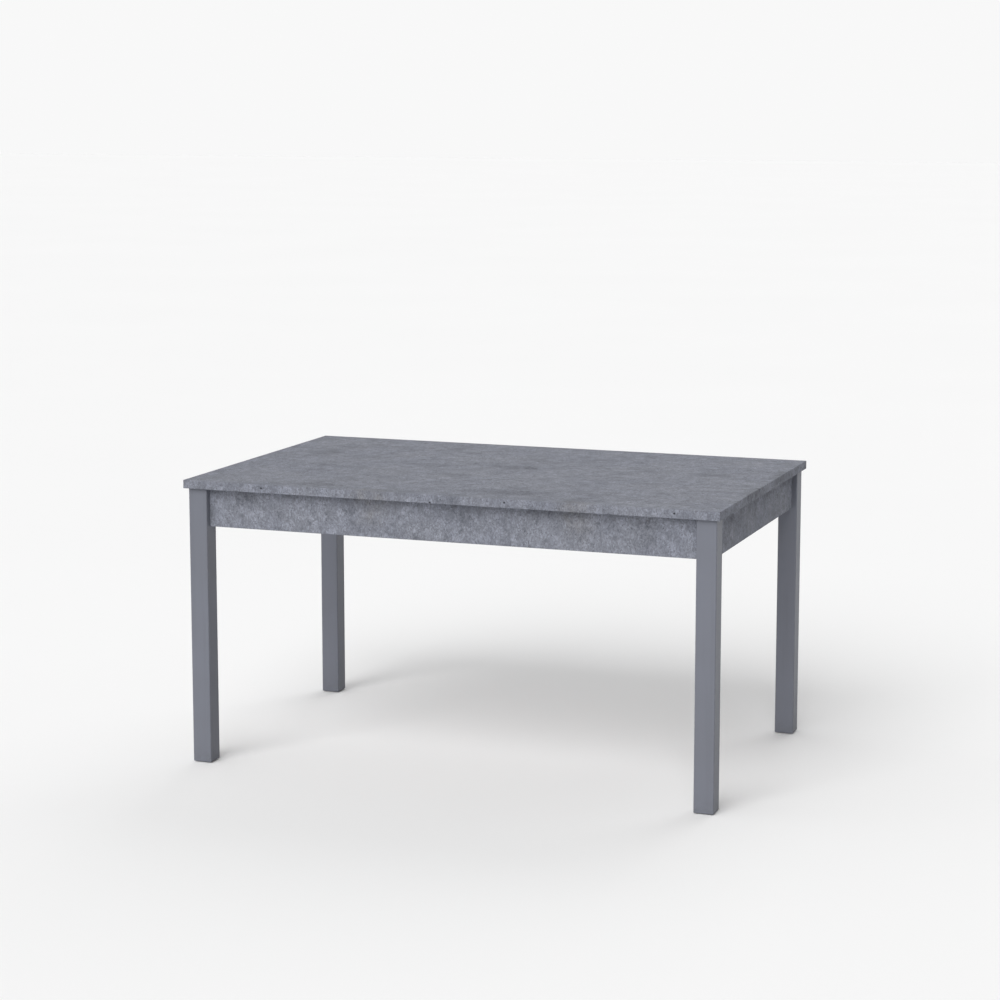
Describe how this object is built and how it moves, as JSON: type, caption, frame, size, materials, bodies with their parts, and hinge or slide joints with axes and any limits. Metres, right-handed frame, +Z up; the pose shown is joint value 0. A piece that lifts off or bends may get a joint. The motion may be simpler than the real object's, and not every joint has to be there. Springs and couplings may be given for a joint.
{
  "type": "extendable dining table",
  "caption": "Rectangular dining table on square legs, with a split top that slides apart on wooden runners and a loose extension leaf stored inside the frame.",
  "frame": {"origin": "on the floor under the middle of the table", "axes": "+X along the table's length, to the right seen from the front; +Y to the back; +Z up"},
  "size_m": [1.45, 0.9, 0.76],
  "materials": {
    "concrete_laminate": "matt laminate on chipboard with a grey concrete look",
    "painted_leg": "satin blue-grey paint on solid wood",
    "beech": "planed, waxed",
    "zinc_steel": "zinc plated",
    "glide_plastic": "moulded",
    "felt": "pressed felt strip"
  },
  "bodies": {
    "frame": {"leg_front_left": "painted_leg", "leg_front_right": "painted_leg", "leg_back_left": "painted_leg", "leg_back_right": "painted_leg", "glide_front_left": "glide_plastic", "glide_front_right": "glide_plastic", "glide_back_left": "glide_plastic", "glide_back_right": "glide_plastic", "corner_bracket_front_left": "zinc_steel", "corner_bracket_front_right": "zinc_steel", "corner_bracket_back_left": "zinc_steel", "corner_bracket_back_right": "zinc_steel", "hanger_bolt_front_left": "zinc_steel", "hanger_bolt_front_right": "zinc_steel", "hanger_bolt_back_left": "zinc_steel", "hanger_bolt_back_right": "zinc_steel", "wing_nut_front_left": "zinc_steel", "wing_nut_front_right": "zinc_steel", "wing_nut_back_left": "zinc_steel", "wing_nut_back_right": "zinc_steel", "rail_bracket_front_left": "zinc_steel", "rail_bracket_front_right": "zinc_steel", "rail_bracket_back_left": "zinc_steel", "rail_bracket_back_right": "zinc_steel", "apron_front": "concrete_laminate", "apron_back": "concrete_laminate", "apron_left": "concrete_laminate", "apron_right": "concrete_laminate", "slide_strip_left": "felt", "slide_strip_right": "felt", "cross_bearer_left": "beech", "cross_bearer_right": "beech", "guide_rail_front": "beech", "guide_rail_back": "beech"},
    "left_half": {"top_left": "concrete_laminate", "runner_left_front": "beech", "runner_left_back": "beech", "runner_screw_left_front_1": "zinc_steel", "runner_screw_left_front_2": "zinc_steel", "runner_screw_left_front_3": "zinc_steel", "runner_screw_left_back_1": "zinc_steel", "runner_screw_left_back_2": "zinc_steel", "runner_screw_left_back_3": "zinc_steel", "seam_dowel_front": "beech", "seam_dowel_middle": "beech", "seam_dowel_back": "beech"},
    "right_half": {"top_right": "concrete_laminate", "runner_right_front": "beech", "runner_right_back": "beech", "runner_screw_right_front_1": "zinc_steel", "runner_screw_right_front_2": "zinc_steel", "runner_screw_right_front_3": "zinc_steel", "runner_screw_right_back_1": "zinc_steel", "runner_screw_right_back_2": "zinc_steel", "runner_screw_right_back_3": "zinc_steel"},
    "leaf": {"extension_leaf": "concrete_laminate", "leaf_dowel_front": "beech", "leaf_dowel_middle": "beech", "leaf_dowel_back": "beech"}
  },
  "joints": [
    {"name": "left_half_slide", "type": "slide", "parent": "frame", "child": "left_half", "axis": [-1, 0, 0], "range_m": [0, 0.225]},
    {"name": "right_half_slide", "type": "slide", "parent": "frame", "child": "right_half", "axis": [1, 0, 0], "range_m": [0, 0.225]},
    {"name": "leaf_lift", "type": "slide", "parent": "frame", "child": "leaf", "axis": [0, 0, 1], "range_m": [0, 0.025]}
  ]
}
